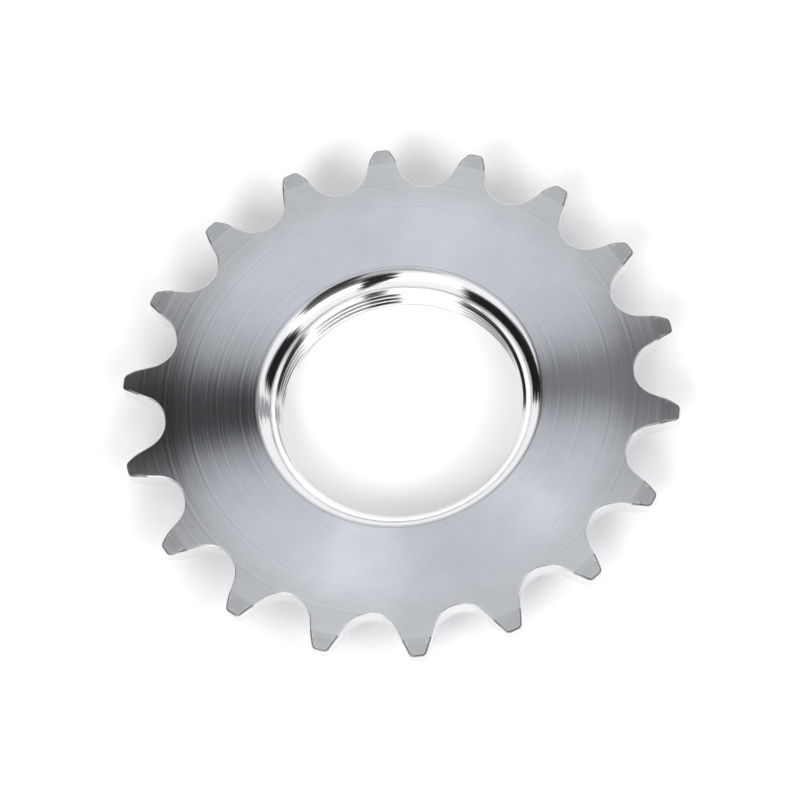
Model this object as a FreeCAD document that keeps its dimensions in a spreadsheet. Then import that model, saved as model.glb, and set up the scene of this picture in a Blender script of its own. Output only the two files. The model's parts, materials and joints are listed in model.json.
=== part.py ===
import FreeCAD, Part
import math
import os

import Sketcher

# Chain sprocket that screws onto a hub: a toothed plate and its shoulder, turned and cut from one piece.
# The axis of the bore is Z. The shoulder's end face lies at Z = 0 and the plate's plain face is on top.

doc = FreeCAD.newDocument("chain_sprocket")

# Every driving size, in millimetres and degrees: its name, its value and what it is.
SIZES = [
    ("tooth_count", 18, "teeth round the plate"),
    ("chain_pitch", 12.7, "from one chain roller to the next"),
    ("roller_diameter", 7.75, "roller of the chain"),
    ("seat_clearance", 0.175, "room all round a roller in its seat"),
    ("seat_angle", 127.0, "how far the seat wraps round the roller, in degrees"),
    ("flank_radius", 25.0, "swell of the tooth above its seat"),
    ("tip_height", 2.08, "tips of the teeth above the chain's pitch circle"),
    ("tip_corner_radius", 0.8, "where a flank turns into the tip"),
    ("plate_thickness", 3.0, "toothed plate"),
    ("relief_inset", 2.0, "how far inside the root circle both faces start to fall away towards the teeth"),
    ("relief_depth", 0.15, "fall of each face by the tip bevel"),
    ("tip_bevel_width", 1.4, "radial width of the bevel on each tooth tip"),
    ("tip_bevel_depth", 0.5, "depth of that bevel from each face"),
    ("shoulder_wall", 4.17, "collar that meets the hub, from the thread's crests to its outside"),
    ("shoulder_height", 4.0, "how far the collar stands out from the plate"),
    ("shoulder_edge", 0.5, "chamfer round the collar's end"),
    ("shoulder_fillet", 0.6, "where the collar meets the plate"),
    ("thread_minor_diameter", 33.66, "bore, over the crests of its thread"),
    ("thread_lead_in", 0.7, "chamfer at the collar's end of the thread"),
    ("countersink_width", 2.6, "radial width of the bevel at the plate's end of the bore"),
    ("countersink_depth", 2.6, "depth of that bevel"),
    ("countersink_edge", 1.0, "rounding where that bevel meets the plain face"),
]

sheet = doc.addObject("Spreadsheet::Sheet", "sizes")
for row, (name, value, meaning) in enumerate(SIZES, start=1):
    sheet.set(f"A{row}", name)
    sheet.set(f"B{row}", str(value))
    sheet.set(f"C{row}", meaning)
    sheet.setAlias(f"B{row}", name)
doc.recompute()

# Radii and heights that follow from the sheet. Each is written once and used by every sketch that needs it.
PITCH_RADIUS = "sizes.chain_pitch / (2 * sin(180 deg / sizes.tooth_count))"
SEAT_RADIUS = "sizes.roller_diameter / 2 + sizes.seat_clearance"
TIP_RADIUS = f"{PITCH_RADIUS} + sizes.tip_height"
BEVEL_RADIUS = f"{TIP_RADIUS} - sizes.tip_bevel_width"
RELIEF_RADIUS = f"{PITCH_RADIUS} - ({SEAT_RADIUS}) - sizes.relief_inset"
BORE_RADIUS = "sizes.thread_minor_diameter / 2"
SHOULDER_RADIUS = f"{BORE_RADIUS} + sizes.shoulder_wall"
RIM_RADIUS = f"{BORE_RADIUS} + sizes.countersink_width"
UNDERSIDE = "sizes.shoulder_height"
TOP = "sizes.shoulder_height + sizes.plate_thickness"

# The tooth cutter passes outside the tips, at this many times their radius.
CUTTER_REACH = 1.1

# Two sizes count as the same within this many millimetres.
SAME = 1e-4


def value_of(expression):
    """The number that an expression of the sheet's sizes stands for."""
    result = sheet.evalExpression(expression)
    return float(getattr(result, "Value", result))


def origin_feature(body, role):
    """One of the body's own planes or axes."""
    return next(item for item in body.Origin.OriginFeatures if item.Role == role)


def sketch_on(body, role, name):
    sketch = body.newObject("Sketcher::SketchObject", name)
    sketch.AttachmentSupport = [(origin_feature(body, role), "")]
    sketch.MapMode = "FlatFace"
    return sketch


def dimension(sketch, kind, geometry, expression, name):
    """A named dimension that the sheet drives. Lengths and angles share this one way in."""
    amount = value_of(expression)
    if kind == "Angle":
        amount = math.radians(amount)
    index = sketch.addConstraint(Sketcher.Constraint(kind, *geometry, amount))
    sketch.renameConstraint(index, name)
    sketch.setExpression(f"Constraints.{name}", expression)


def closed_profile(sketch, corners):
    """A closed outline through named corners, each given as (name, distance out, height)."""
    points = [FreeCAD.Vector(value_of(out), value_of(height), 0) for name, out, height in corners]
    count = len(points)
    for here in range(count):
        sketch.addGeometry(Part.LineSegment(points[here], points[(here + 1) % count]))
    for here, (name, out, height) in enumerate(corners):
        before = (here - 1) % count
        sketch.addConstraint(Sketcher.Constraint("Coincident", before, 2, here, 1))
        if out == corners[before][1]:
            sketch.addConstraint(Sketcher.Constraint("Vertical", before))
        else:
            dimension(sketch, "DistanceX", (-1, 1, here, 1), out, f"{name}_out")
        if height == corners[before][2]:
            sketch.addConstraint(Sketcher.Constraint("Horizontal", before))
        else:
            dimension(sketch, "DistanceY", (-1, 1, here, 1), height, f"{name}_height")


def turned_blank(body):
    """The lathe's work: plate with relieved and bevelled rim, shoulder, bore and countersink."""
    sketch = sketch_on(body, "XZ_Plane", "half_section")
    closed_profile(sketch, [
        ("thread_start", BORE_RADIUS, "sizes.thread_lead_in"),
        ("lead_in_mouth", f"{BORE_RADIUS} + sizes.thread_lead_in", "0"),
        ("shoulder_face", f"{SHOULDER_RADIUS} - sizes.shoulder_edge", "0"),
        ("shoulder_side", SHOULDER_RADIUS, "sizes.shoulder_edge"),
        ("shoulder_root", SHOULDER_RADIUS, UNDERSIDE),
        ("relief_below", RELIEF_RADIUS, UNDERSIDE),
        ("bevel_below", BEVEL_RADIUS, f"{UNDERSIDE} + sizes.relief_depth"),
        ("tip_below", TIP_RADIUS, f"{UNDERSIDE} + sizes.relief_depth + sizes.tip_bevel_depth"),
        ("tip_above", TIP_RADIUS, f"{TOP} - sizes.relief_depth - sizes.tip_bevel_depth"),
        ("bevel_above", BEVEL_RADIUS, f"{TOP} - sizes.relief_depth"),
        ("relief_above", RELIEF_RADIUS, TOP),
        ("countersink_rim", RIM_RADIUS, TOP),
        ("countersink_foot", BORE_RADIUS, f"{TOP} - sizes.countersink_depth"),
    ])
    blank = body.newObject("PartDesign::Revolution", "turned_blank")
    blank.Profile = sketch
    blank.ReferenceAxis = (sketch, ["V_Axis"])
    blank.Angle = 360
    doc.recompute()
    return blank


def ring_edge(shape, radius, height):
    """The name of the turned edge with this radius at this height."""
    for number, edge in enumerate(shape.Edges, start=1):
        ring = isinstance(edge.Curve, Part.Circle) and abs(edge.Curve.Radius - value_of(radius)) < SAME
        if ring and abs(edge.Curve.Center.z - value_of(height)) < SAME:
            return f"Edge{number}"
    raise RuntimeError(f"no turned edge at radius {radius} and height {height}")


def rounded_ring(body, base, name, radius, height, rounding):
    """Rounds one turned edge of the base, given by its radius and height."""
    fillet = body.newObject("PartDesign::Fillet", name)
    fillet.Base = (base, [ring_edge(base.Shape, radius, height)])
    fillet.setExpression("Radius", rounding)
    doc.recompute()
    return fillet


def arc(centre, radius, start, end):
    circle = Part.Circle(centre, FreeCAD.Vector(0, 0, 1), radius)
    return Part.ArcOfCircle(circle, start, end)


def bearing(origin, target):
    """The angle, in radians, at which target lies from origin."""
    return math.atan2(target.y - origin.y, target.x - origin.x)


def mirrored(vector):
    """The same place on the other side of the X axis."""
    return FreeCAD.Vector(vector.x, -vector.y, 0)


def circles_meet(first, first_radius, second, second_radius):
    """Where two circles cross, on the side nearer the X axis."""
    span = second - first
    distance = span.Length
    along = (distance ** 2 + first_radius ** 2 - second_radius ** 2) / (2 * distance)
    aside = math.sqrt(first_radius ** 2 - along ** 2)
    direction = span * (1 / distance)
    square = FreeCAD.Vector(direction.y, -direction.x, 0)
    return first + direction * along + square * aside


def gap_sketch(body):
    """The space between two teeth: a roller seat, a flank on each side and rounded corners at the tips."""
    seat_radius = value_of(SEAT_RADIUS)
    flank_radius = value_of("sizes.flank_radius")
    corner_radius = value_of("sizes.tip_corner_radius")
    tip_radius = value_of(TIP_RADIUS)
    reach = tip_radius * CUTTER_REACH
    half_angle = math.radians(value_of("sizes.seat_angle") / 2)

    # First places for the arcs. The upper half is worked out and the lower half mirrors it.
    seat = FreeCAD.Vector(value_of(PITCH_RADIUS), 0, 0)
    outward = FreeCAD.Vector(-math.cos(half_angle), math.sin(half_angle), 0)
    flank = seat + outward * (seat_radius + flank_radius)
    corner = circles_meet(FreeCAD.Vector(), tip_radius - corner_radius, flank, flank_radius - corner_radius)
    flank_end = bearing(flank, corner)
    corner_end = bearing(FreeCAD.Vector(), corner)
    tip = FreeCAD.Vector(math.cos(corner_end), math.sin(corner_end), 0)

    sketch = sketch_on(body, "XY_Plane", "tooth_gap")
    seat_arc = sketch.addGeometry(arc(seat, seat_radius, math.pi - half_angle, math.pi + half_angle))
    upper_flank = sketch.addGeometry(arc(flank, flank_radius, -half_angle, flank_end))
    upper_corner = sketch.addGeometry(arc(corner, corner_radius, flank_end, corner_end))
    upper_side = sketch.addGeometry(Part.LineSegment(tip * tip_radius, tip * reach))
    back = sketch.addGeometry(arc(FreeCAD.Vector(), reach, -corner_end, corner_end))
    lower_side = sketch.addGeometry(Part.LineSegment(mirrored(tip * tip_radius), mirrored(tip * reach)))
    lower_corner = sketch.addGeometry(arc(mirrored(corner), corner_radius, -corner_end, -flank_end))
    lower_flank = sketch.addGeometry(arc(mirrored(flank), flank_radius, -flank_end, half_angle))
    tip_circle = sketch.addGeometry(Part.Circle(FreeCAD.Vector(), FreeCAD.Vector(0, 0, 1), tip_radius), True)

    # The chain is closed and smooth, even about the X axis, and runs out square to the tips.
    start, end, centre = 1, 2, 3
    origin_point, x_axis = (-1, 1), -1
    for rule in [
        ("Coincident", back, centre, *origin_point),
        ("Coincident", tip_circle, centre, *origin_point),
        ("Tangent", seat_arc, start, upper_flank, start),
        ("Tangent", seat_arc, end, lower_flank, end),
        ("Tangent", upper_flank, end, upper_corner, start),
        ("Tangent", lower_flank, start, lower_corner, end),
        ("Tangent", upper_corner, end, tip_circle),
        ("Tangent", lower_corner, start, tip_circle),
        ("Coincident", upper_corner, end, upper_side, start),
        ("Coincident", lower_corner, start, lower_side, start),
        ("Coincident", upper_side, end, back, end),
        ("Coincident", lower_side, end, back, start),
        ("PointOnObject", *origin_point, upper_side),
        ("PointOnObject", *origin_point, lower_side),
        ("Symmetric", seat_arc, start, seat_arc, end, x_axis),
        ("Equal", upper_flank, lower_flank),
        ("Equal", upper_corner, lower_corner),
    ]:
        sketch.addConstraint(Sketcher.Constraint(*rule))

    dimension(sketch, "DistanceX", (*origin_point, seat_arc, centre), PITCH_RADIUS, "pitch_radius")
    dimension(sketch, "Radius", (seat_arc,), SEAT_RADIUS, "seat_radius")
    dimension(sketch, "Angle", (seat_arc,), "sizes.seat_angle", "seat_angle")
    dimension(sketch, "Radius", (upper_flank,), "sizes.flank_radius", "flank_radius")
    dimension(sketch, "Radius", (upper_corner,), "sizes.tip_corner_radius", "corner_radius")
    dimension(sketch, "Radius", (tip_circle,), TIP_RADIUS, "tip_radius")
    dimension(sketch, "Radius", (back,), f"({TIP_RADIUS}) * {CUTTER_REACH}", "cutter_reach")
    return sketch


def cut_teeth(body):
    """One gap, cut right through the plate and then repeated round the axis."""
    gap = body.newObject("PartDesign::Pocket", "first_gap")
    gap.Profile = gap_sketch(body)
    gap.Type = "ThroughAll"
    gap.Reversed = True
    doc.recompute()
    teeth = body.newObject("PartDesign::PolarPattern", "teeth")
    teeth.Originals = [gap]
    teeth.Axis = (origin_feature(body, "Z_Axis"), [""])
    teeth.Angle = 360
    teeth.setExpression("Occurrences", "sizes.tooth_count")
    body.Tip = teeth
    doc.recompute()
    return gap, teeth


def check(feature_volumes):
    """Stops before anything is written if a feature failed or one that takes metal away took none."""
    for item in doc.Objects:
        if "Invalid" in item.State or "Error" in item.State:
            raise RuntimeError(f"{item.Label} failed: {item.State}")
    for earlier, later in zip(feature_volumes, feature_volumes[1:]):
        if later >= earlier:
            raise RuntimeError("the rounding of the rim or a cut of the tooth gaps removed nothing")


sprocket = doc.addObject("PartDesign::Body", "sprocket")
sprocket.Label = "sprocket"
sprocket.Placement = FreeCAD.Placement()
blank = turned_blank(sprocket)
filleted = rounded_ring(sprocket, blank, "shoulder_root", SHOULDER_RADIUS, UNDERSIDE, "sizes.shoulder_fillet")
eased = rounded_ring(sprocket, filleted, "countersink_rim", RIM_RADIUS, TOP, "sizes.countersink_edge")
first_gap, teeth = cut_teeth(sprocket)

check([filleted.Shape.Volume, eased.Shape.Volume, first_gap.Shape.Volume, teeth.Shape.Volume])
os.makedirs("parts", exist_ok=True)
for body in doc.findObjects("PartDesign::Body"):
    if body.Shape.isNull() or not body.Shape.isValid() or len(body.Shape.Solids) != 1:
        raise RuntimeError(f"{body.Label} isn't one valid solid")
    body.Shape.exportStep(os.path.join("parts", f"{body.Label}.step"))
    print(body.Label, round(body.Shape.Volume, 2), "mm3", body.Shape.BoundBox)
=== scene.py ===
import json
import math

import bmesh
import bpy
from mathutils import Matrix, Vector


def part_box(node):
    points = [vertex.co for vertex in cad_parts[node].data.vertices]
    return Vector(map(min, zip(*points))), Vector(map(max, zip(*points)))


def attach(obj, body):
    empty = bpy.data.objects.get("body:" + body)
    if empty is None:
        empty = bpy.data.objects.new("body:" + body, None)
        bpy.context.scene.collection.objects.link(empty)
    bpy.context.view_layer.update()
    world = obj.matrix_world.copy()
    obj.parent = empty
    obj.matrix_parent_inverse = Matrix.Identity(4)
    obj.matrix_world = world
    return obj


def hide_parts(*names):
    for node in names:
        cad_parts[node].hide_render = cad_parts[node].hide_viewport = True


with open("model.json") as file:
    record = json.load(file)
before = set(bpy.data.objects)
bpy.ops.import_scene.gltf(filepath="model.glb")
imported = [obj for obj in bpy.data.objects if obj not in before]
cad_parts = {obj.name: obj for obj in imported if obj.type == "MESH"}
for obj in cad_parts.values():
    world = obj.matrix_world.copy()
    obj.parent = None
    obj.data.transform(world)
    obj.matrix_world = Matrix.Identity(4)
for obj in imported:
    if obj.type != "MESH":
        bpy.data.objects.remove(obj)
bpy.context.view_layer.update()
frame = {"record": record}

# A steel chain sprocket, turned, cut and plated, lying on a white table with its collar underneath.
# Lengths are in metres. The plate, the bore and the pitch circle come from the frame and its mounts.
# The middle of a gap lies on the X axis, and the middle of a tooth on the Y axis.
MM = 0.001
INCH_MM = 25.4
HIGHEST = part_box("sprocket")[1]
MOUNTS = {mount["name"]: mount for mount in frame["record"]["mounts"]}
CHAIN = MOUNTS["chain_line"]
HUB_THREAD = MOUNTS["hub_thread"]

TOP = HIGHEST.z
PLATE_MIDDLE = CHAIN["pos_m"][2]
UNDERSIDE = 2 * PLATE_MIDDLE - TOP
TEETH = CHAIN["dims"]["count"]
TOOTH_ANGLE = 2 * math.pi / TEETH
PITCH_RADIUS = CHAIN["dims"]["pcd_mm"] / 2 * MM
TIP_RADIUS = HIGHEST.y

# The space between two teeth: a roller's seat, a flank on each side and a rounded corner at each tip.
SEAT_RADIUS = 4.05 * MM
SEAT_HALF_ANGLE = math.radians(127 / 2)
FLANK_RADIUS = 25 * MM
TIP_CORNER = 0.8 * MM

# Both faces fall away a little from just inside the gaps outwards, and the tips are bevelled.
# The chain wears the caps, the sides of the tips, from a little inside the bevel.
RELIEF_MARGIN = 2 * MM
RELIEF_RADIUS = PITCH_RADIUS - SEAT_RADIUS - RELIEF_MARGIN
RELIEF_DEPTH = 0.15 * MM
CAP_LENGTH = 2.4 * MM
CAP_RADIUS = TIP_RADIUS - CAP_LENGTH
BEVEL_LENGTH = 1.4 * MM
BEVEL_RADIUS = TIP_RADIUS - BEVEL_LENGTH
BEVEL_DEPTH = 0.5 * MM

# The bore: the lead-in chamfer at its lower end and the countersink at its upper end, where they
# leave the crests of the thread.
CREST_RADIUS = HUB_THREAD["dims"]["r_mm"] * MM
LEAD_IN = HUB_THREAD["pos_m"][2] - HUB_THREAD["dims"]["length_mm"] / 2 * MM
COUNTERSINK_FOOT = LEAD_IN + HUB_THREAD["dims"]["length_mm"] * MM

# The hub thread.
THREADS_PER_INCH = 24
THREAD_PITCH = INCH_MM / THREADS_PER_INCH * MM
THREAD_DEPTH = 0.57 * MM
ROOT_RADIUS = CREST_RADIUS + THREAD_DEPTH
CREST_FLAT = THREAD_PITCH / 4
ROOT_FLAT = THREAD_PITCH / 8

# The countersink swells a little: its slope, measured from the face, at its rounded rim and at its foot.
RIM_ROUNDING = 1.0 * MM
RIM_SLOPE = math.radians(25)
FOOT_SLOPE = math.radians(62)

# The collar.
COLLAR_WALL = 4.17 * MM
COLLAR_RADIUS = CREST_RADIUS + COLLAR_WALL
COLLAR_CHAMFER = 0.5 * MM
COLLAR_FILLET = 0.6 * MM

# The rounding of every sharp edge, and the flat strip beside that of the teeth.
EDGE_EASE = 0.2 * MM
EDGE_LAND = 0.05 * MM
CREST_EASE = 0.2 * MM
ROOT_EASE = 0.1 * MM

# Steps along the half of a gap, from its middle to the middle of the next tooth.
SEAT_STEPS = 10
FLANK_STEPS = 7
CAP_STEPS = 3
BEVEL_STEPS = 3
CORNER_STEPS = 5
TIP_STEPS = 2

# Steps across the turned surfaces, and columns round them.
EASE_STEPS = 3
COLLAR_EASE_STEPS = 4
FACE_STEPS = 6
RIM_STEPS = 6
SLOPE_STEPS = 12
TURNED_COLUMNS = 432

# Rows of points nearer to each other than this are one.
LEAST_STEP = EDGE_EASE / 100

# The finishes, in the order of the piece's material slots.
FACE, RIM, CAP, TIP, TOOTH_EDGE, CAP_EDGE_PAINTED_SHADE, TOOTH_WALL, COUNTERSINK, THREAD, COLLAR = range(10)

# The photograph's view of the face.
VIEW_ELEVATION = math.radians(64.06)
VIEW_AZIMUTH = math.radians(8.665)
VIEW_ROLL = math.radians(-13.77)
VIEW_DISTANCE = 0.697
SENSOR_WIDTH = 36.0
FIELD_WIDTH = 0.110


# Mesh of the toothed ring

def polar(radius, angle):
    return Vector((radius * math.cos(angle), radius * math.sin(angle)))


def raised(point, height):
    return point.to_3d() + Vector((0, 0, height))


def spread(start, end, steps):
    """Evenly spaced values after start, up to and including end."""
    return [start + (end - start) * step / steps for step in range(1, steps + 1)]


def circles_meet(first, first_radius, second, second_radius):
    """Where two circles cross, on the side nearer the X axis."""
    span = second - first
    along = (span.length_squared + first_radius ** 2 - second_radius ** 2) / (2 * span.length)
    aside = math.sqrt(first_radius ** 2 - along ** 2)
    direction = span.normalized()
    return first + direction * along + Vector((direction.y, -direction.x)) * aside


def half_gap(inset):
    """The edge from the middle of a gap to the middle of the next tooth, moved into the metal by inset.

    The flank has a point where it crosses the start of the cap and the foot of the bevel.
    """
    origin = Vector((0, 0))
    seat = Vector((PITCH_RADIUS, 0))
    flank = seat + polar(SEAT_RADIUS + FLANK_RADIUS, math.pi - SEAT_HALF_ANGLE)
    corner = circles_meet(origin, TIP_RADIUS - TIP_CORNER, flank, FLANK_RADIUS - TIP_CORNER)
    corner_start = math.atan2(corner.y - flank.y, corner.x - flank.x)
    corner_end = math.atan2(corner.y, corner.x)

    turns = [-SEAT_HALF_ANGLE]
    for reach in (CAP_RADIUS, BEVEL_RADIUS):
        crossing = circles_meet(origin, reach, flank, FLANK_RADIUS - inset) - flank
        turns.append(math.atan2(crossing.y, crossing.x))
    turns.append(corner_start)

    points = [seat + polar(SEAT_RADIUS + inset, math.pi)]
    for angle in spread(math.pi, math.pi - SEAT_HALF_ANGLE, SEAT_STEPS):
        points.append(seat + polar(SEAT_RADIUS + inset, angle))
    for start, end, steps in zip(turns, turns[1:], (FLANK_STEPS, CAP_STEPS, BEVEL_STEPS)):
        for angle in spread(start, end, steps):
            points.append(flank + polar(FLANK_RADIUS - inset, angle))
    for angle in spread(corner_start, corner_end, CORNER_STEPS):
        points.append(corner + polar(TIP_CORNER - inset, angle))
    for angle in spread(corner_end, TOOTH_ANGLE / 2, TIP_STEPS):
        points.append(polar(TIP_RADIUS - inset, angle))
    return points


def toothed_edge(inset):
    """The whole outline of the teeth, anticlockwise, moved into the metal by inset."""
    upper = half_gap(inset)
    lower = [Vector((point.x, -point.y)) for point in reversed(upper)]
    one_gap = lower[:-1] + upper[:-1]
    return [Matrix.Rotation(TOOTH_ANGLE * tooth, 2) @ point
            for tooth in range(TEETH) for point in one_gap]


def face_height(radius):
    """Height of the plain face: flat, then relieved, then bevelled at the tips."""
    if radius <= RELIEF_RADIUS:
        return TOP
    if radius <= BEVEL_RADIUS:
        return TOP - RELIEF_DEPTH * (radius - RELIEF_RADIUS) / (BEVEL_RADIUS - RELIEF_RADIUS)
    return TOP - RELIEF_DEPTH - BEVEL_DEPTH * (radius - BEVEL_RADIUS) / (TIP_RADIUS - BEVEL_RADIUS)


def turned_ring(bm, radius, height):
    """The vertices of a circle round the axis."""
    angles = [2 * math.pi * column / TURNED_COLUMNS for column in range(TURNED_COLUMNS)]
    return [bm.verts.new(raised(polar(radius, angle), height)) for angle in angles]


def facet(bm, corners, finish):
    """One face, or none where too few of the corners differ."""
    distinct = []
    for corner in corners:
        if corner not in distinct:
            distinct.append(corner)
    if len(distinct) > 2:
        made = bm.faces.new(distinct)
        made.material_index = finish
        made.smooth = True


def band(bm, inner, outer, *zones):
    """Faces between two rings with the same columns.

    The zones are the finish inside the caps, that of the caps and that of the bevels. Where there are
    fewer, the last one goes on outwards.
    """
    for here in range(len(inner)):
        after = (here + 1) % len(inner)
        reach = (inner[here].co.xy.length + inner[after].co.xy.length) / 2
        zone = (reach > CAP_RADIUS) + (reach > BEVEL_RADIUS)
        finish = zones[min(zone, len(zones) - 1)]
        facet(bm, (inner[here], outer[here], outer[after], inner[after]), finish)


def crease(points, least_reach):
    """Marks the edges along a ring as sharp, from this far out."""
    for here, after in zip(points, points[1:] + points[:1]):
        for edge in here.link_edges:
            if after in edge.verts and min(here.co.xy.length, after.co.xy.length) > least_reach:
                edge.smooth = False


def graded_band(bm, few, many, finish):
    """Triangles between two rings whose columns differ, taken in the order of their angles."""
    def angle(vertex):
        return math.atan2(vertex.co.y, vertex.co.x) % (2 * math.pi)

    few = sorted(few, key=angle)
    many = sorted(many, key=angle)
    at_few = at_many = 0
    while at_few < len(few) or at_many < len(many):
        next_few = angle(few[at_few]) if at_few < len(few) else math.inf
        next_many = angle(many[at_many]) if at_many < len(many) else math.inf
        if next_few <= next_many:
            facet(bm, (few[at_few - 1], few[at_few], many[at_many - 1]), finish)
            at_few += 1
        else:
            facet(bm, (few[at_few - 1], many[at_many], many[at_many - 1]), finish)
            at_many += 1


def tooth_faces(bm, height_of):
    """One side of the teeth, from the relief outwards to the wall. Gives its first and last ring.

    A row that the outline cuts short ends at the outline, where its vertex is that of the row before.
    """
    wall = toothed_edge(0)
    edge = toothed_edge(EDGE_EASE)
    side = math.copysign(1, height_of(TOP) - PLATE_MIDDLE)

    foot, middle, cap, bevel, rim = [], [], [], [], []
    for point in toothed_edge(EDGE_EASE + EDGE_LAND):
        reach = point.length
        middle_reach = (RELIEF_RADIUS + min(reach, CAP_RADIUS)) / 2
        rows = ((foot, RELIEF_RADIUS), (middle, middle_reach), (cap, CAP_RADIUS),
                (bevel, BEVEL_RADIUS), (rim, math.inf))
        latest_reach = 0
        for row, row_reach in rows:
            row_reach = min(row_reach, reach)
            if row_reach - latest_reach > LEAST_STEP:
                height = height_of(face_height(row_reach))
                latest = bm.verts.new(raised(point * row_reach / reach, height))
                latest_reach = row_reach
            row.append(latest)

    band(bm, foot, middle, FACE)
    band(bm, middle, cap, FACE)
    band(bm, cap, bevel, CAP)
    band(bm, bevel, rim, TIP)
    crease(bevel, BEVEL_RADIUS - LEAST_STEP)

    last = rim
    for turn in [0] + spread(0, math.pi / 2, EASE_STEPS):
        rounded = []
        for inner, outer in zip(edge, wall):
            place = inner.lerp(outer, math.sin(turn))
            drop = EDGE_EASE * (1 - math.cos(turn)) * side
            height = height_of(face_height(inner.length)) - drop
            rounded.append(bm.verts.new(raised(place, height)))
        if turn:
            band(bm, last, rounded, TOOTH_EDGE, CAP_EDGE_PAINTED_SHADE)
        else:
            band(bm, last, rounded, FACE, CAP, TIP)
        last = rounded
    return foot, last


def eased(corners, steps):
    """A line through (radius, height, ease) corners, each rounded by its own ease."""
    line = []
    for here, (radius, height, ease) in enumerate(corners):
        corner = Vector((radius, height))
        if not ease:
            line.append(corner)
            continue
        back = (Vector(corners[here - 1][:2]) - corner).normalized()
        ahead = (Vector(corners[here + 1][:2]) - corner).normalized()
        half = back.angle(ahead) / 2
        centre = corner + (back + ahead).normalized() * (ease / math.sin(half))
        start = corner + back * (ease / math.tan(half)) - centre
        turn = start.angle_signed(corner + ahead * (ease / math.tan(half)) - centre)
        for angle in [0] + spread(0, turn, steps):
            line.append(centre + Matrix.Rotation(-angle, 2) @ start)
    return line


def turned_surface(bm, line, finish, first=None, last=None):
    """A band of rings along a line of (radius, height) points. Gives its first and last ring.

    A first or last ring that is there already takes the place of that point's own.
    """
    own_points = line[1 if first else 0:-1 if last else None]
    rings = [turned_ring(bm, radius, height) for radius, height in own_points]
    rings = ([first] if first else []) + rings + ([last] if last else [])
    for here, after in zip(rings, rings[1:]):
        band(bm, here, after, finish)
    return rings[0], rings[-1]


def thread_wall(bm):
    """The right-hand thread. It runs out into the countersink above and the lead-in below.

    Every row of points climbs by one pitch in a turn, and stops at the ring where the thread ends.
    Gives the lowest and the highest ring.
    """
    low = LEAD_IN - THREAD_DEPTH
    high = COUNTERSINK_FOOT + THREAD_DEPTH
    middle = THREAD_PITCH / 2
    one_pitch = eased([
        (CREST_RADIUS, 0, 0),
        (CREST_RADIUS, CREST_FLAT / 2, CREST_EASE),
        (ROOT_RADIUS, middle - ROOT_FLAT / 2, ROOT_EASE),
        (ROOT_RADIUS, middle + ROOT_FLAT / 2, ROOT_EASE),
        (CREST_RADIUS, THREAD_PITCH - CREST_FLAT / 2, CREST_EASE),
        (CREST_RADIUS, THREAD_PITCH, 0),
    ], EASE_STEPS)
    profile = one_pitch[:-1]

    # The rows climb, so they start more than a pitch below the thread and end above it.
    lowest_ring = turned_ring(bm, ROOT_RADIUS, low)
    highest_ring = turned_ring(bm, ROOT_RADIUS, high)
    first_turn = math.floor(low / THREAD_PITCH) - 2
    last_turn = math.ceil(high / THREAD_PITCH) + 1
    rows = [(turn * THREAD_PITCH + point.y, point.x)
            for turn in range(first_turn, last_turn) for point in profile]

    columns = []
    for column in range(TURNED_COLUMNS):
        share = column / TURNED_COLUMNS
        climbing = []
        for start, radius in rows:
            height = start + THREAD_PITCH * share
            if height <= low:
                climbing.append(lowest_ring[column])
            elif height >= high:
                climbing.append(highest_ring[column])
            else:
                lead_in = CREST_RADIUS + LEAD_IN - height
                countersink = CREST_RADIUS + height - COUNTERSINK_FOOT
                place = polar(max(radius, lead_in, countersink), 2 * math.pi * share)
                climbing.append(bm.verts.new(raised(place, height)))
        columns.append(climbing)

    rows_in_a_turn = len(profile)
    last_column = columns[0][rows_in_a_turn:] + [highest_ring[0]] * rows_in_a_turn
    for left, right in zip(columns, columns[1:] + [last_column]):
        for row in range(len(rows) - 1):
            facet(bm, (left[row], right[row], right[row + 1], left[row + 1]), THREAD)
    return lowest_ring, highest_ring


def swollen_countersink():
    """The countersink's line from the face down to the roots of the thread, in two arcs: rim and slope.

    Gives the points of the rim, then those of the slope.
    """
    depth = TOP - COUNTERSINK_FOOT - THREAD_DEPTH
    rim_drop = RIM_ROUNDING * (1 - math.cos(RIM_SLOPE))
    slope_radius = (depth - rim_drop) / (math.cos(RIM_SLOPE) - math.cos(FOOT_SLOPE))
    slope_centre = Vector((ROOT_RADIUS + slope_radius * math.sin(FOOT_SLOPE),
                           COUNTERSINK_FOOT + THREAD_DEPTH - slope_radius * math.cos(FOOT_SLOPE)))
    rim_centre = slope_centre + polar(slope_radius - RIM_ROUNDING, math.pi / 2 + RIM_SLOPE)
    rim = [rim_centre + polar(RIM_ROUNDING, math.pi / 2 + turn)
           for turn in [0] + spread(0, RIM_SLOPE, RIM_STEPS)]
    slope = [slope_centre + polar(slope_radius, math.pi / 2 + turn)
             for turn in spread(RIM_SLOPE, FOOT_SLOPE, SLOPE_STEPS)]
    return rim, slope


def placed_mesh(name, bm):
    """The finished mesh as an object in the scene."""
    mesh = bpy.data.meshes.new(name)
    bm.to_mesh(mesh)
    bm.free()
    made = bpy.data.objects.new(name, mesh)
    bpy.context.scene.collection.objects.link(made)
    return made


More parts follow.
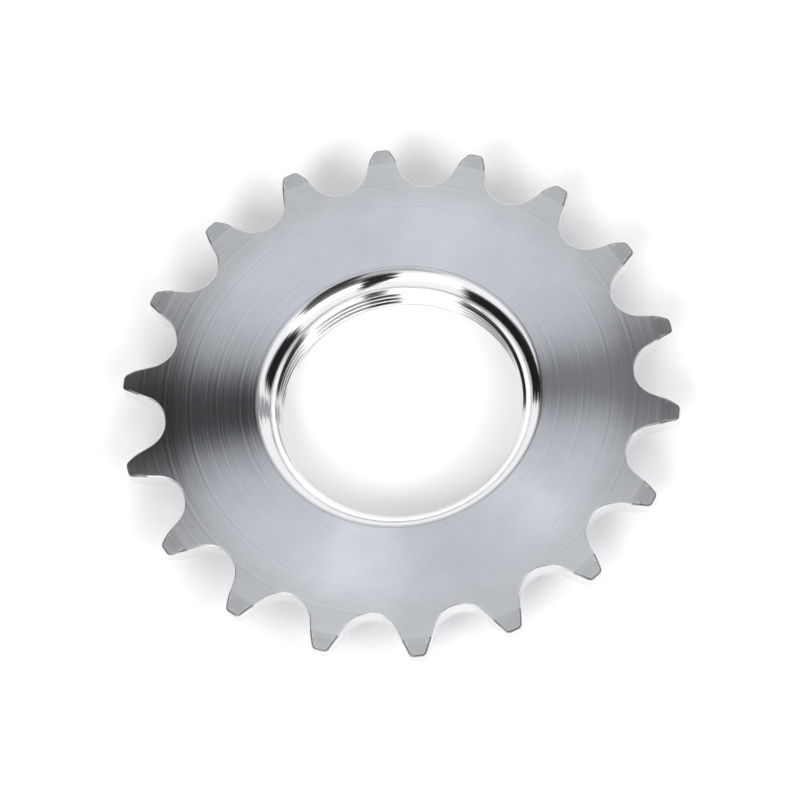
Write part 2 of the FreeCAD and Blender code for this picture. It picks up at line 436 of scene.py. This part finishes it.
def toothed_ring():
    """The whole sprocket as one closed skin."""
    bm = bmesh.new()
    top_foot, top_wall = tooth_faces(bm, lambda height: height)
    under_foot, under_wall = tooth_faces(bm, lambda height: 2 * PLATE_MIDDLE - height)
    band(bm, top_wall, under_wall, TOOTH_WALL)

    low_thread, high_thread = thread_wall(bm)
    rim, slope = swollen_countersink()
    face_step = (RELIEF_RADIUS - rim[0].x) / FACE_STEPS
    face_line = [Vector((RELIEF_RADIUS - face_step * step, TOP)) for step in range(1, FACE_STEPS + 1)]
    outer_face, inner_face = turned_surface(bm, face_line, FACE)
    graded_band(bm, outer_face, top_foot, FACE)
    _, rim_end = turned_surface(bm, rim, RIM, inner_face)
    turned_surface(bm, rim[-1:] + slope, COUNTERSINK, rim_end, high_thread)

    collar_line = eased([
        (ROOT_RADIUS, LEAD_IN - THREAD_DEPTH, 0),
        (CREST_RADIUS + LEAD_IN, 0, EDGE_EASE / 2),
        (COLLAR_RADIUS - COLLAR_CHAMFER, 0, EDGE_EASE),
        (COLLAR_RADIUS, COLLAR_CHAMFER, EDGE_EASE),
        (COLLAR_RADIUS, UNDERSIDE, COLLAR_FILLET),
        (RELIEF_RADIUS - face_step, UNDERSIDE, 0),
    ], COLLAR_EASE_STEPS)
    _, under_outer = turned_surface(bm, collar_line, COLLAR, low_thread)
    graded_band(bm, under_outer, under_foot, COLLAR)

    bmesh.ops.recalc_face_normals(bm, faces=bm.faces)
    piece = placed_mesh("toothed_ring", bm)
    even = piece.modifiers.new("even_shading", "WEIGHTED_NORMAL")
    even.keep_sharp = True
    return piece


# Nodes

def add_node(tree, kind, inputs=None, **settings):
    """A node with its settings. Its inputs are values or other nodes' outputs."""
    made = tree.nodes.new(kind)
    for name, value in settings.items():
        setattr(made, name, value)
    for name, value in (inputs or {}).items():
        if isinstance(value, bpy.types.NodeSocket):
            tree.links.new(value, made.inputs[name])
        else:
            made.inputs[name].default_value = value
    return made


def calculate(tree, operation, *values):
    """The result of one sum on numbers or outputs."""
    return add_node(tree, "ShaderNodeMath", dict(enumerate(values)), operation=operation).outputs[0]


def calculate_vector(tree, operation, *values):
    inputs = dict(enumerate(values))
    return add_node(tree, "ShaderNodeVectorMath", inputs, operation=operation).outputs[0]


def scaled(tree, vector, amount):
    inputs = {0: vector, "Scale": amount}
    return add_node(tree, "ShaderNodeVectorMath", inputs, operation="SCALE").outputs[0]


def ramp(tree, value, low, high, start=0.0, end=1.0):
    """Start where value is at low, end where it is at high, and smooth between them."""
    inputs = {"Value": value, "From Min": low, "From Max": high, "To Min": start, "To Max": end}
    return add_node(tree, "ShaderNodeMapRange", inputs, interpolation_type="SMOOTHSTEP").outputs[0]


def between(tree, value, low, high, softness):
    """1 where value lies between low and high, fading to 0 outside over softness."""
    above = ramp(tree, value, low - softness, low)
    below = ramp(tree, value, high, high + softness, 1.0, 0.0)
    return calculate(tree, "MULTIPLY", above, below)


def noise(tree, place, scale, detail):
    """Noise from 0 to 1 through space."""
    inputs = {"Vector": place, "Scale": scale, "Detail": detail}
    return add_node(tree, "ShaderNodeTexNoise", inputs).outputs["Fac"]


def ring_noise(tree, turns, detail):
    """Noise from 0 to 1 that changes from each turn of the lathe to the next."""
    inputs = {"W": turns, "Scale": 1.0, "Detail": detail}
    return add_node(tree, "ShaderNodeTexNoise", inputs, noise_dimensions="1D").outputs["Fac"]


# A colour mix's sockets: other sockets of the same node have the same names.
MIX_SHARE, MIX_FIRST, MIX_SECOND, MIX_RESULT = 0, 6, 7, 2


def mix_colours(tree, share, first, second, blend_type="MIX"):
    """The first colour, with this share of it replaced by or blended with the second."""
    inputs = {MIX_SHARE: share, MIX_FIRST: first, MIX_SECOND: second}
    mix = add_node(tree, "ShaderNodeMix", inputs, data_type="RGBA", blend_type=blend_type)
    return mix.outputs[MIX_RESULT]


def new_group(name, inputs, outputs):
    """An empty node group. Its inputs are numbers with their values, and its outputs have kinds."""
    group = bpy.data.node_groups.new(name, "ShaderNodeTree")
    for socket_name, value in inputs.items():
        socket = group.interface.new_socket(socket_name, in_out="INPUT", socket_type="NodeSocketFloat")
        socket.default_value = value
    for socket_name, kind in outputs.items():
        group.interface.new_socket(socket_name, in_out="OUTPUT", socket_type=kind)
    return group, group.nodes.new("NodeGroupInput").outputs, group.nodes.new("NodeGroupOutput").inputs


# Broad rings lie among the fine ones. The flat face changes to the teeth within a reach to either side
# of the relief's start. The sway's noise is that of the fine rings, some turns further on.
BROAD_RINGS = 0.12
BROAD_SHARE = 0.2
NOISE_MEAN = 0.5
CHANGE_REACH = 3 * MM
SWAY_SHIFT = 100.0


def lathe_rings_group():
    """Rings that the lathe tool leaves side by side, each leaning outwards by its own small angle.

    Sway turns them sideways as well, so that what they mirror ends unevenly along them. Outwards grows
    from 0 on the flat face to 1 on the teeth, and the lean changes with it.
    """
    group, given, result = new_group(
        "lathe_rings",
        {"Feed": 0.3 * MM, "Lean": 0.0, "Lean Outwards": 0.0, "Unevenness": 0.0, "Sway": 0.0},
        {"Fine": "NodeSocketFloat", "Outwards": "NodeSocketFloat", "Normal": "NodeSocketVector"},
    )
    place = add_node(group, "ShaderNodeTexCoord").outputs["Object"]
    from_axis = calculate_vector(group, "MULTIPLY", place, (1, 1, 0))
    radius = add_node(group, "ShaderNodeVectorMath", {0: from_axis}, operation="LENGTH").outputs["Value"]
    height = add_node(group, "ShaderNodeSeparateXYZ", {0: place}).outputs["Z"]
    turns = calculate(group, "DIVIDE", calculate(group, "ADD", radius, height), given["Feed"])
    fine = ring_noise(group, turns, 2.0)
    broad = ring_noise(group, calculate(group, "MULTIPLY", turns, BROAD_RINGS), 3.0)
    both = calculate(group, "MULTIPLY_ADD", broad, BROAD_SHARE, fine)
    unevenness = calculate(group, "SUBTRACT", both, NOISE_MEAN * (1 + BROAD_SHARE))

    outwards = ramp(group, radius, RELIEF_RADIUS - CHANGE_REACH, RELIEF_RADIUS + CHANGE_REACH)
    change = calculate(group, "SUBTRACT", given["Lean Outwards"], given["Lean"])
    lean = calculate(group, "MULTIPLY_ADD", change, outwards, given["Lean"])
    lean = calculate(group, "MULTIPLY_ADD", unevenness, given["Unevenness"], lean)
    direction = calculate_vector(group, "NORMALIZE", from_axis)
    tilt = scaled(group, direction, lean)

    other = ring_noise(group, calculate(group, "ADD", turns, SWAY_SHIFT), 2.0)
    sway = calculate(group, "MULTIPLY", calculate(group, "SUBTRACT", other, NOISE_MEAN), given["Sway"])
    turned = scaled(group, calculate_vector(group, "CROSS_PRODUCT", direction, (0, 0, 1)), sway)
    upright = add_node(group, "ShaderNodeNewGeometry").outputs["Normal"]
    leaning = calculate_vector(group, "ADD", calculate_vector(group, "ADD", upright, tilt), turned)
    group.links.new(fine, result["Fine"])
    group.links.new(outwards, result["Outwards"])
    group.links.new(calculate_vector(group, "NORMALIZE", leaning), result["Normal"])
    return group


# What handling leaves. A pair is the noise at which a mark begins and that at which it is whole.
SPECK_SPREAD = 300.0
SPECK_CHANCE = (0.8, 1.0)
SPECK_SIZE = 0.12
SCRATCH_STRETCH = (0.06, 1.0, 1.0)
SCRATCH_ANGLE = 0.9
SCRATCH_SCALE = 2600.0
SCRATCH_WIDTH = (0.70, 0.76)
SCRATCHED_SCALE = 90.0
SCRATCHED_PLACES = (0.52, 0.62)
CLOUD_SCALE = 260.0


def handling_marks_group():
    """Tiny specks and short scratches from handling, and faint clouds in the plating."""
    group, given, result = new_group(
        "handling_marks",
        {"Spread": SPECK_SPREAD},
        {"Specks": "NodeSocketFloat", "Scratches": "NodeSocketFloat", "Clouds": "NodeSocketFloat"},
    )
    place = add_node(group, "ShaderNodeTexCoord").outputs["Object"]
    cells = add_node(group, "ShaderNodeTexVoronoi", {"Vector": place, "Scale": given["Spread"]}).outputs
    chance = add_node(group, "ShaderNodeSeparateColor", {0: cells["Color"]}).outputs["Red"]
    size = ramp(group, chance, *SPECK_CHANCE, 0.0, SPECK_SIZE)
    group.links.new(calculate(group, "LESS_THAN", cells["Distance"], size), result["Specks"])

    stretched = calculate_vector(group, "MULTIPLY", place, SCRATCH_STRETCH)
    turned = add_node(group, "ShaderNodeVectorRotate", {"Vector": stretched, "Angle": SCRATCH_ANGLE},
                      rotation_type="Z_AXIS").outputs[0]
    thin = ramp(group, noise(group, turned, SCRATCH_SCALE, 1.0), *SCRATCH_WIDTH)
    there = ramp(group, noise(group, place, SCRATCHED_SCALE, 2.0), *SCRATCHED_PLACES)
    group.links.new(calculate(group, "MULTIPLY", thin, there), result["Scratches"])
    group.links.new(noise(group, place, CLOUD_SCALE, 4.0), result["Clouds"])
    return group


LATHE_RINGS = lathe_rings_group()
HANDLING_MARKS = handling_marks_group()

# How much each of them shows in the steel's tone, from its dark colour to its own.
RING_TONE = 0.4
CLOUD_TONE = 0.6
SCRATCH_TONE = 0.5
TONE_RANGE = (0.2, 0.8)

# The teeth are a little duller in colour and smoother than the face, and each ring is a little rougher
# or smoother than the next.
DULLER = (0.93, 0.925, 0.91, 1.0)
SMOOTHER = 0.2
FINE_RANGE = (0.3, 0.7)
ROUGHNESS_CHANGE = 0.08
QUARTER_TURN = 0.25


def turned_finish(name, colour, dark_colour, roughness, grain, feed,
                  leans=(0.0, 0.0), unevenness=0.0, sway=0.0):
    """Turned and plated steel: rings in its tone and slope, with specks and scratches over them.

    Grain is how much the rings spread what they mirror across themselves. The leans are the rings' own,
    on the flat face and on the teeth.
    """
    material = bpy.data.materials.new(name)
    material.use_nodes = True
    tree = material.node_tree
    metal = tree.nodes["Principled BSDF"].inputs
    lean, lean_outwards = leans
    ring_values = {"Feed": feed, "Lean": lean, "Lean Outwards": lean_outwards,
                   "Unevenness": unevenness, "Sway": sway}
    rings = add_node(tree, "ShaderNodeGroup", ring_values, node_tree=LATHE_RINGS).outputs
    marks = add_node(tree, "ShaderNodeGroup", node_tree=HANDLING_MARKS).outputs

    tone = calculate(tree, "MULTIPLY", rings["Fine"], RING_TONE)
    tone = calculate(tree, "MULTIPLY_ADD", marks["Clouds"], CLOUD_TONE, tone)
    tone = calculate(tree, "MULTIPLY_ADD", marks["Scratches"], SCRATCH_TONE, tone)
    tone = calculate(tree, "SUBTRACT", tone, marks["Specks"])
    steel = mix_colours(tree, ramp(tree, tone, *TONE_RANGE), (*dark_colour, 1.0), (*colour, 1.0))
    steel = mix_colours(tree, rings["Outwards"], steel, DULLER, "MULTIPLY")
    tree.links.new(steel, metal["Base Color"])
    metal["Metallic"].default_value = 1.0

    rough = ramp(tree, rings["Fine"], *FINE_RANGE,
                 roughness * (1 - ROUGHNESS_CHANGE), roughness * (1 + ROUGHNESS_CHANGE))
    smoother = calculate(tree, "MULTIPLY_ADD", rings["Outwards"], -SMOOTHER, 1.0)
    tree.links.new(calculate(tree, "MULTIPLY", rough, smoother), metal["Roughness"])
    metal["Anisotropic"].default_value = grain
    metal["Anisotropic Rotation"].default_value = QUARTER_TURN
    tangent = add_node(tree, "ShaderNodeTangent", direction_type="RADIAL", axis="Z").outputs[0]
    tree.links.new(tangent, metal["Tangent"])
    tree.links.new(rings["Normal"], metal["Normal"])
    return material


def finishes():
    """The finish of each zone, in the order of the slots."""
    return [
        turned_finish("turned_face", (0.725, 0.75, 0.80), (0.66, 0.685, 0.735), roughness=0.23,
                      grain=1.0, feed=0.4 * MM, leans=(0.126, 0.06), unevenness=0.045, sway=0.01),
        turned_finish("dull_rim", (0.66, 0.68, 0.725), (0.58, 0.60, 0.64), roughness=0.20,
                      grain=0.5, feed=0.3 * MM),
        turned_finish("worn_cap", (0.72, 0.745, 0.785), (0.62, 0.645, 0.68), roughness=0.23,
                      grain=1.0, feed=0.4 * MM, leans=(0.0, 0.03), unevenness=0.04),
        turned_finish("bevelled_tip", (0.70, 0.725, 0.765), (0.60, 0.62, 0.655), roughness=0.24,
                      grain=1.0, feed=0.4 * MM, leans=(0.0, -0.28), unevenness=0.04),
        turned_finish("tooth_edge", (0.78, 0.80, 0.83), (0.70, 0.72, 0.75), roughness=0.26,
                      grain=0.0, feed=0.3 * MM),
        # The rounded edges of the caps and bevels are dark in colour: painted shade.
        turned_finish("cap_edge_painted_shade", (0.33, 0.34, 0.355), (0.27, 0.28, 0.29), roughness=0.24,
                      grain=0.0, feed=0.3 * MM),
        # The walls of the teeth are near white in colour, far above the face's plating: a painted
        # highlight.
        turned_finish("cut_tooth_wall_painted_highlight", (0.96, 0.97, 0.98), (0.91, 0.92, 0.94), roughness=0.28,
                      grain=0.3, feed=0.3 * MM),
        # The countersink and the thread are smoother than the face, which is the finish's own, and near
        # white in colour so that what they mirror shows white, which is a painted highlight.
        turned_finish("smooth_countersink_painted_highlight", (0.94, 0.945, 0.95), (0.88, 0.885, 0.895), roughness=0.10,
                      grain=0.6, feed=0.2 * MM, unevenness=0.05, sway=0.15),
        turned_finish("cut_thread_painted_highlight", (0.92, 0.925, 0.93), (0.86, 0.865, 0.875), roughness=0.15,
                      grain=0.5, feed=0.2 * MM, unevenness=0.05, sway=0.1),
        turned_finish("turned_collar", (0.74, 0.765, 0.815), (0.66, 0.685, 0.735), roughness=0.30,
                      grain=0.9, feed=0.3 * MM, unevenness=0.05),
    ]


# Table

TABLE_HALF_WIDTH = 2.0
TABLE_CLEARANCE = 0.05 * MM
TABLE_WHITE = (0.93, 0.93, 0.93, 1.0)
SHADOW_LIFT = 0.06


def white_table():
    """A white table top, clear from underneath, with its shadows lifted a little."""
    bm = bmesh.new()
    bmesh.ops.create_grid(bm, x_segments=1, y_segments=1, size=TABLE_HALF_WIDTH)
    table = placed_mesh("table_top", bm)
    table.location.z = -TABLE_CLEARANCE

    material = bpy.data.materials.new("white_table")
    material.use_nodes = True
    tree = material.node_tree
    tree.nodes.clear()
    paint = add_node(tree, "ShaderNodeBsdfDiffuse", {"Color": TABLE_WHITE}).outputs[0]
    path = add_node(tree, "ShaderNodeLightPath").outputs
    seen = calculate(tree, "MAXIMUM", path["Is Camera Ray"], path["Is Glossy Ray"])
    seen = calculate(tree, "MAXIMUM", seen, path["Is Transmission Ray"])
    strength = calculate(tree, "MULTIPLY", seen, SHADOW_LIFT)
    lift = add_node(tree, "ShaderNodeEmission", {"Strength": strength}).outputs[0]
    lifted = add_node(tree, "ShaderNodeAddShader", {0: paint, 1: lift}).outputs[0]
    clear = add_node(tree, "ShaderNodeBsdfTransparent").outputs[0]
    underneath = add_node(tree, "ShaderNodeNewGeometry").outputs["Backfacing"]
    shown = add_node(tree, "ShaderNodeMixShader", {0: underneath, 1: lifted, 2: clear}).outputs[0]
    add_node(tree, "ShaderNodeOutputMaterial", {"Surface": shown})
    table.data.materials.append(material)


# Studio

# Places are on a sphere of radius 1 round the sprocket, as the photograph's view has them: across to
# the right, away, and in height. A ramp is where it starts and ends, then what it starts and ends at.
GAP_SLANT = math.radians(10)
GAP_AWAY = 0.438
GAP_EDGE = (0.09, 0.105)
GAP_NARROWING = (-0.05, 0.12, 1.0, 1.38)
GAP_FADING = (-0.15, 0.42, 0.0, 0.36)
CEILING_LEVEL = (0.35, 0.6, 0.97, 0.95)

# A side is two bearings and a softness, in degrees, counted from where the photograph was taken round
# to the right. A span is two heights and a softness.
LEFT_END_SIDE = (-125, -64, 8)
RIGHT_END_SIDE = (59, 93, 8)
ENDS_RAMP = (0.63, 0.53)
FRONT_SIDE = (-52, 57, 10)
FRONT_SHADE_SPAN = (0.86, 0.97, 0.03)
FRONT_SHADE = 0.5
PANEL_SPAN = (0.48, 0.72, 0.05)
PANEL_LEVEL = 7.0
MIRRORED_PANEL_LEVEL = 1.5
SCREEN_SIDE = (12, 50, 10)
SCREEN_SPAN = (0.66, 0.97, 0.04)
SCREEN_SHADE = 0.93
STAND_SIDE = (-17, 5, 6)
STAND_SLANT = 0.79
STAND_FOOT_RAMP = (0.30, 0.37)
STAND_HEAD_RAMP = (0.80, 0.87, 1.0, 0.0)
DARKEST = 0.01


def facing(tree, bearing, side):
    """1 towards this side of the room, fading to 0 beside it."""
    left, right, softness = side
    return between(tree, bearing, math.radians(left), math.radians(right), math.radians(softness))


def shaded(tree, level, shape, depth=1.0):
    """The level with this share of it, the depth, taken away inside the shape."""
    left_over = calculate(tree, "MULTIPLY_ADD", shape, -depth, 1.0)
    return calculate(tree, "MULTIPLY", level, left_over)


def studio():
    """Soft white light from all round, with a dark gap in the ceiling and dark ends left and right."""
    world = bpy.data.worlds.new("studio")
    world.use_nodes = True
    bpy.context.scene.world = world
    tree = world.node_tree
    background = tree.nodes["Background"].inputs
    background["Color"].default_value = (1, 1, 1, 1)
    direction = add_node(tree, "ShaderNodeTexCoord").outputs["Generated"]
    turned = add_node(tree, "ShaderNodeVectorRotate", {"Vector": direction, "Angle": -VIEW_AZIMUTH},
                      rotation_type="Z_AXIS").outputs[0]
    across, away, height = add_node(tree, "ShaderNodeSeparateXYZ", {0: turned}).outputs
    bearing = calculate(tree, "ARCTAN2", across, calculate(tree, "MULTIPLY", away, -1.0))

    # The ceiling is two panels with a gap between them, which narrows and fades towards the right.
    place = calculate(tree, "MULTIPLY_ADD", across, math.tan(GAP_SLANT), away)
    from_gap = calculate(tree, "ABSOLUTE", calculate(tree, "SUBTRACT", place, GAP_AWAY))
    from_gap = calculate(tree, "MULTIPLY", from_gap, ramp(tree, across, *GAP_NARROWING))
    beside_gap = ramp(tree, from_gap, *GAP_EDGE)
    beside_gap = calculate(tree, "MAXIMUM", beside_gap, ramp(tree, across, *GAP_FADING))
    level = calculate(tree, "MULTIPLY", beside_gap, ramp(tree, away, *CEILING_LEVEL))

    # Low down, the room is dark to the left and the right, and a bright panel stands in front, with a
    # shade above it. The metal mirrors only a part of the panel's brightness.
    left_end = facing(tree, bearing, LEFT_END_SIDE)
    right_end = facing(tree, bearing, RIGHT_END_SIDE)
    ends = calculate(tree, "ADD", left_end, right_end)
    level = shaded(tree, level, calculate(tree, "MULTIPLY", ends, ramp(tree, height, *ENDS_RAMP)))
    front = facing(tree, bearing, FRONT_SIDE)
    shade = calculate(tree, "MULTIPLY", front, between(tree, height, *FRONT_SHADE_SPAN))
    level = shaded(tree, level, shade, FRONT_SHADE)
    panel = calculate(tree, "MULTIPLY", front, between(tree, height, *PANEL_SPAN))
    path = add_node(tree, "ShaderNodeLightPath").outputs
    mirrored_change = MIRRORED_PANEL_LEVEL - PANEL_LEVEL
    panel_level = calculate(tree, "MULTIPLY_ADD", path["Is Glossy Ray"], mirrored_change, PANEL_LEVEL)
    level = calculate(tree, "MULTIPLY_ADD", panel, panel_level, level)

    # A dark screen covers the panel's upper right, and the camera stands before it on slanting legs.
    screen_side = facing(tree, bearing, SCREEN_SIDE)
    screen = calculate(tree, "MULTIPLY", screen_side, between(tree, height, *SCREEN_SPAN))
    level = shaded(tree, level, screen, SCREEN_SHADE)
    stand_side = facing(tree, bearing, STAND_SIDE)
    along_legs = calculate(tree, "MULTIPLY_ADD", bearing, STAND_SLANT, height)
    above_foot = ramp(tree, along_legs, *STAND_FOOT_RAMP)
    below_head = ramp(tree, height, *STAND_HEAD_RAMP)
    stand = calculate(tree, "MULTIPLY", stand_side, calculate(tree, "MULTIPLY", above_foot, below_head))
    level = shaded(tree, level, stand)
    level = calculate(tree, "MAXIMUM", level, DARKEST)
    seen = calculate(tree, "MAXIMUM", level, path["Is Camera Ray"])
    tree.links.new(seen, background["Strength"])


# Camera

def camera():
    """Looks at the middle of the face from where the photograph was taken, with a longer lens."""
    data = bpy.data.cameras.new("camera")
    data.sensor_width = SENSOR_WIDTH
    data.lens = SENSOR_WIDTH * VIEW_DISTANCE / FIELD_WIDTH
    data.clip_start = 0.01
    data.clip_end = 10.0
    eye = bpy.data.objects.new("camera", data)
    bpy.context.scene.collection.objects.link(eye)
    level = math.cos(VIEW_ELEVATION)
    back = Vector((math.sin(VIEW_AZIMUTH) * level, -math.cos(VIEW_AZIMUTH) * level,
                   math.sin(VIEW_ELEVATION)))
    turn = back.to_track_quat("Z", "Y").to_matrix() @ Matrix.Rotation(VIEW_ROLL, 3, "Z")
    place = Vector((0, 0, PLATE_MIDDLE)) + back * VIEW_DISTANCE
    eye.matrix_world = Matrix.Translation(place) @ turn.to_4x4()
    bpy.context.scene.camera = eye


camera()
white_table()
studio()
sprocket = toothed_ring()
for finish in finishes():
    sprocket.data.materials.append(finish)
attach(sprocket, "root")
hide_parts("sprocket")

bpy.context.scene.view_settings.view_transform = "Standard"
